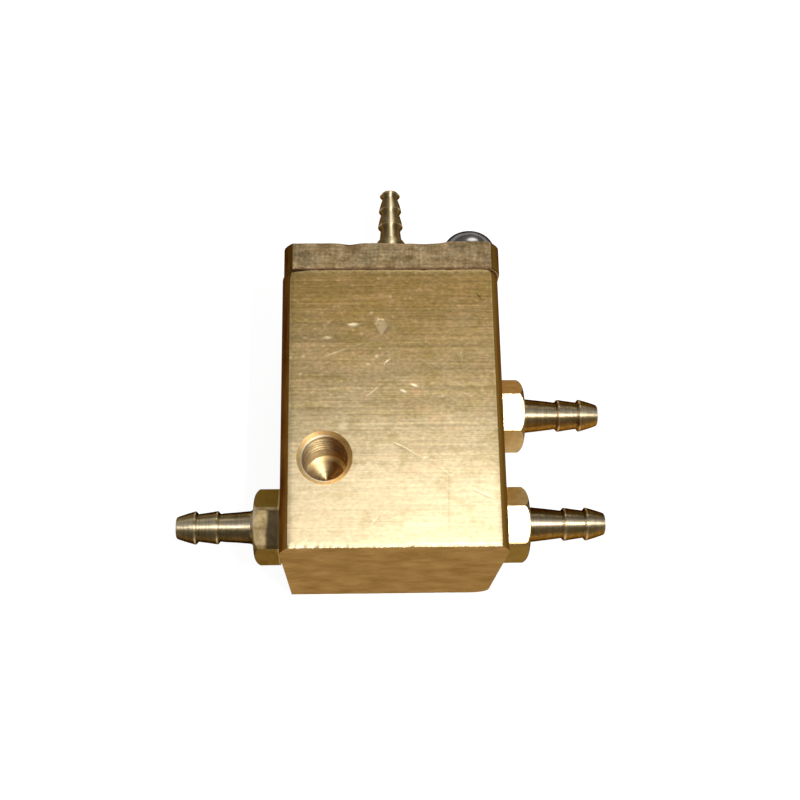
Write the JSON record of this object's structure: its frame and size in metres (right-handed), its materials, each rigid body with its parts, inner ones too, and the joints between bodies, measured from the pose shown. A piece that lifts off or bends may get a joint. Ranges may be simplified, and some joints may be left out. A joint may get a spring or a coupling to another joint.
{
  "type": "water regulating valve",
  "caption": "Air piloted water valve in a milled brass block, with a bolted cap, barbed side fittings and a smaller barbed pilot fitting.",
  "frame": {"origin": "middle of the block's back face, on which the valve lies", "axes": "+Z out of the front face with the mounting hole, +Y along the valve towards the cap and pilot fitting, +X towards the side with two hose fittings"},
  "size_m": [0.0604, 0.0592, 0.0345],
  "materials": {
    "milled_brass": "flat milled, fine cross lines, handled and nicked",
    "cap_brass": "sawn and filed, dull and blotchy",
    "turned_brass": "turned, lightly tarnished",
    "plated_steel": "bright nickel plate",
    "spring_steel": "plain spring steel",
    "stainless_steel": "ground",
    "black_rubber": "moulded",
    "pressed_fibre": "pressed fibre sheet, oiled"
  },
  "bodies": {
    "housing": {"valve_block": "milled_brass", "cap_plate": "cap_brass", "cap_seal_ring": "black_rubber", "cap_screw_front": "plated_steel", "cap_screw_rear": "plated_steel", "spring_washer_front": "spring_steel", "spring_washer_rear": "spring_steel", "inlet_fitting": "turned_brass", "through_fitting": "turned_brass", "outlet_fitting": "turned_brass", "pilot_fitting": "turned_brass", "inlet_washer": "pressed_fibre", "through_washer": "pressed_fibre", "outlet_washer": "pressed_fibre", "pilot_washer": "pressed_fibre", "seat_bush": "turned_brass", "bush_ring_lower": "black_rubber", "bush_ring_upper": "black_rubber", "gland_ring": "black_rubber", "gland_cover": "turned_brass", "return_spring": "spring_steel"},
    "spindle": {"valve_stem": "stainless_steel", "piston": "turned_brass", "piston_seal_ring": "black_rubber", "piston_nut": "stainless_steel", "poppet": "turned_brass", "poppet_seal": "black_rubber"}
  },
  "joints": [
    {"name": "valve_travel", "type": "slide", "parent": "housing", "child": "spindle", "axis": [0, -1, 0], "range_m": [0, 0.0015], "stiffness_N_per_m": 1600, "springref_m": -0.003, "deforming": ["return_spring"]}
  ]
}
